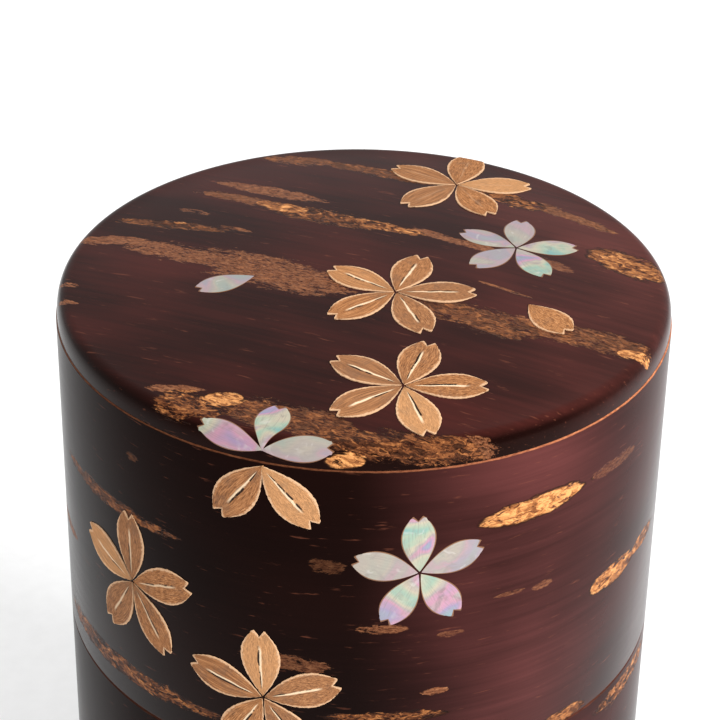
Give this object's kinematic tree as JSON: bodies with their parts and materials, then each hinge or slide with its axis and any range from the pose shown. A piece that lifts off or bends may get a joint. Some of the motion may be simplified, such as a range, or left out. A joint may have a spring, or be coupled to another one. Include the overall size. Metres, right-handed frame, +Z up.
{
  "type": "tea caddy",
  "caption": "Tall round tea caddy faced in dark polished cherry bark, its lid sliding over an inner sleeve, with a knobbed inner lid and inlaid blossoms in bark and pearl.",
  "frame": {"origin": "on the floor, at the centre of the base", "axes": "+Z up along the caddy's own axis; the pictured front faces -Y; +X is the viewer's right"},
  "size_m": [0.08, 0.0802, 0.118],
  "materials": {
    "polished_bark": "polished cherry bark, semi-gloss, dark wine brown",
    "lining_bark": "smooth satin bark lining",
    "core_wood": "plain pale wood, sanded",
    "rough_bark": "unpolished fibrous bark, matte",
    "mother_of_pearl": "polished iridescent shell"
  },
  "bodies": {
    "caddy": {"body_core": "core_wood", "body_bark": "polished_bark", "sleeve_core": "core_wood", "neck_bark": "polished_bark", "sleeve_lining": "lining_bark", "base_board": "core_wood", "base_bark": "polished_bark", "floor_bark": "lining_bark", "flower_body": "rough_bark", "pearl_flower_body": "mother_of_pearl", "bark_petal_body": "rough_bark"},
    "lid": {"lid_core": "core_wood", "lid_bark": "polished_bark", "lid_lining": "lining_bark", "lid_top_board": "core_wood", "lid_top_bark": "polished_bark", "lid_ceiling_bark": "lining_bark", "flower_crown_front": "rough_bark", "flower_crown_middle": "rough_bark", "flower_crown_back": "rough_bark", "pearl_flower_crown": "mother_of_pearl", "pearl_petal_crown": "mother_of_pearl", "bark_petal_crown": "rough_bark", "pearl_petals_rim": "mother_of_pearl", "bark_petals_rim": "rough_bark", "flower_side_left": "rough_bark", "flower_side_low": "rough_bark", "pearl_flower_side": "mother_of_pearl"},
    "inner_lid": {"inner_lid_board": "core_wood", "inner_lid_edge": "polished_bark", "inner_lid_top_bark": "polished_bark", "inner_lid_under_bark": "lining_bark", "inner_lid_knob": "polished_bark", "knob_dowel": "core_wood"}
  },
  "joints": [
    {"name": "lid_lift", "type": "slide", "parent": "caddy", "child": "lid", "axis": [0, 0, 1], "range_m": [0, 0.06]},
    {"name": "inner_lid_lift", "type": "slide", "parent": "caddy", "child": "inner_lid", "axis": [0, 0, 1], "range_m": [0, 0.007]}
  ]
}
